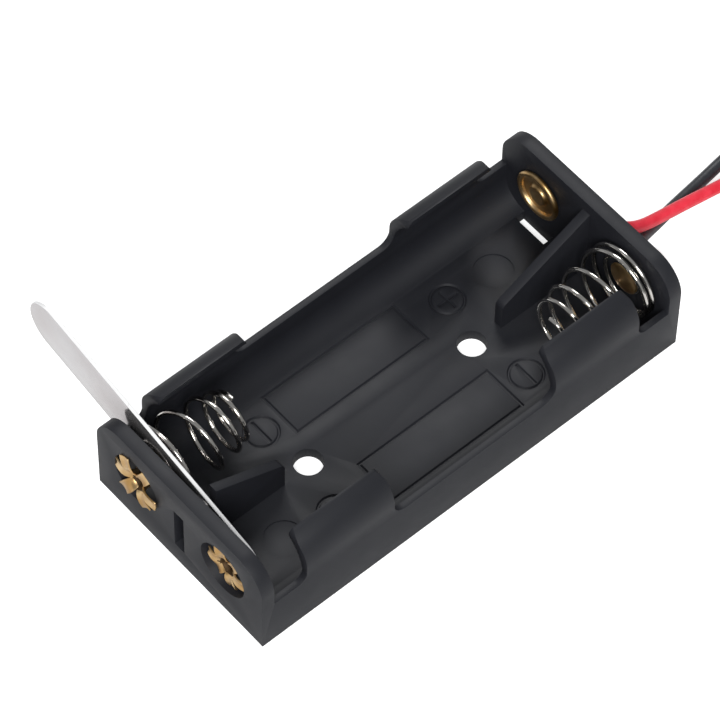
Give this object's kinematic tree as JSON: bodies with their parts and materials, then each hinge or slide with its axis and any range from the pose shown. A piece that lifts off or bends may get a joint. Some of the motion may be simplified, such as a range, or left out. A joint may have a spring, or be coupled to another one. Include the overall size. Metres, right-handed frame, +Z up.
{
  "type": "cylindrical cell holder",
  "caption": "Open plastic tray for slim cylindrical cells side by side, with sprung clips, cone springs, riveted contacts, a bare link strip and soldered flying leads.",
  "frame": {"origin": "midway between the two screw holes, on the underside of the tray", "axes": "+Z up out of the open tray, +Y along the cells towards the end with the leads, +X across the bays towards the right-hand one seen from the near end"},
  "size_m": [0.0468, 0.1049, 0.0143],
  "materials": {
    "tray_plastic": "fine satin moulding",
    "spring_wire": "bright nickel plating",
    "contact_brass": "bare pressed brass",
    "strip_nickel": "smooth nickel plating",
    "solder_tin": "smooth solder",
    "red_insulation": "smooth extruded insulation",
    "black_insulation": "smooth extruded insulation"
  },
  "bodies": {
    "holder": {"tray": "tray_plastic", "near_left_rivet": "contact_brass", "far_right_rivet": "contact_brass", "near_right_contact": "contact_brass", "far_left_contact": "contact_brass", "link_strip": "strip_nickel", "red_solder": "solder_tin", "black_solder": "solder_tin", "red_lead": "red_insulation", "black_lead": "black_insulation", "red_coil": "red_insulation", "black_coil": "black_insulation", "red_tinned_end": "solder_tin", "black_tinned_end": "solder_tin"},
    "near_spring_coil": {"near_left_spring": "spring_wire"},
    "far_spring_coil": {"far_right_spring": "spring_wire"}
  },
  "joints": [
    {"name": "near_spring_press", "type": "slide", "parent": "holder", "child": "near_spring_coil", "axis": [0, -1, 0], "range_m": [0, 0.0065], "stiffness_N_per_m": 300, "deforming": ["near_left_spring"]},
    {"name": "far_spring_press", "type": "slide", "parent": "holder", "child": "far_spring_coil", "axis": [0, 1, 0], "range_m": [0, 0.0065], "stiffness_N_per_m": 300, "deforming": ["far_right_spring"]}
  ]
}
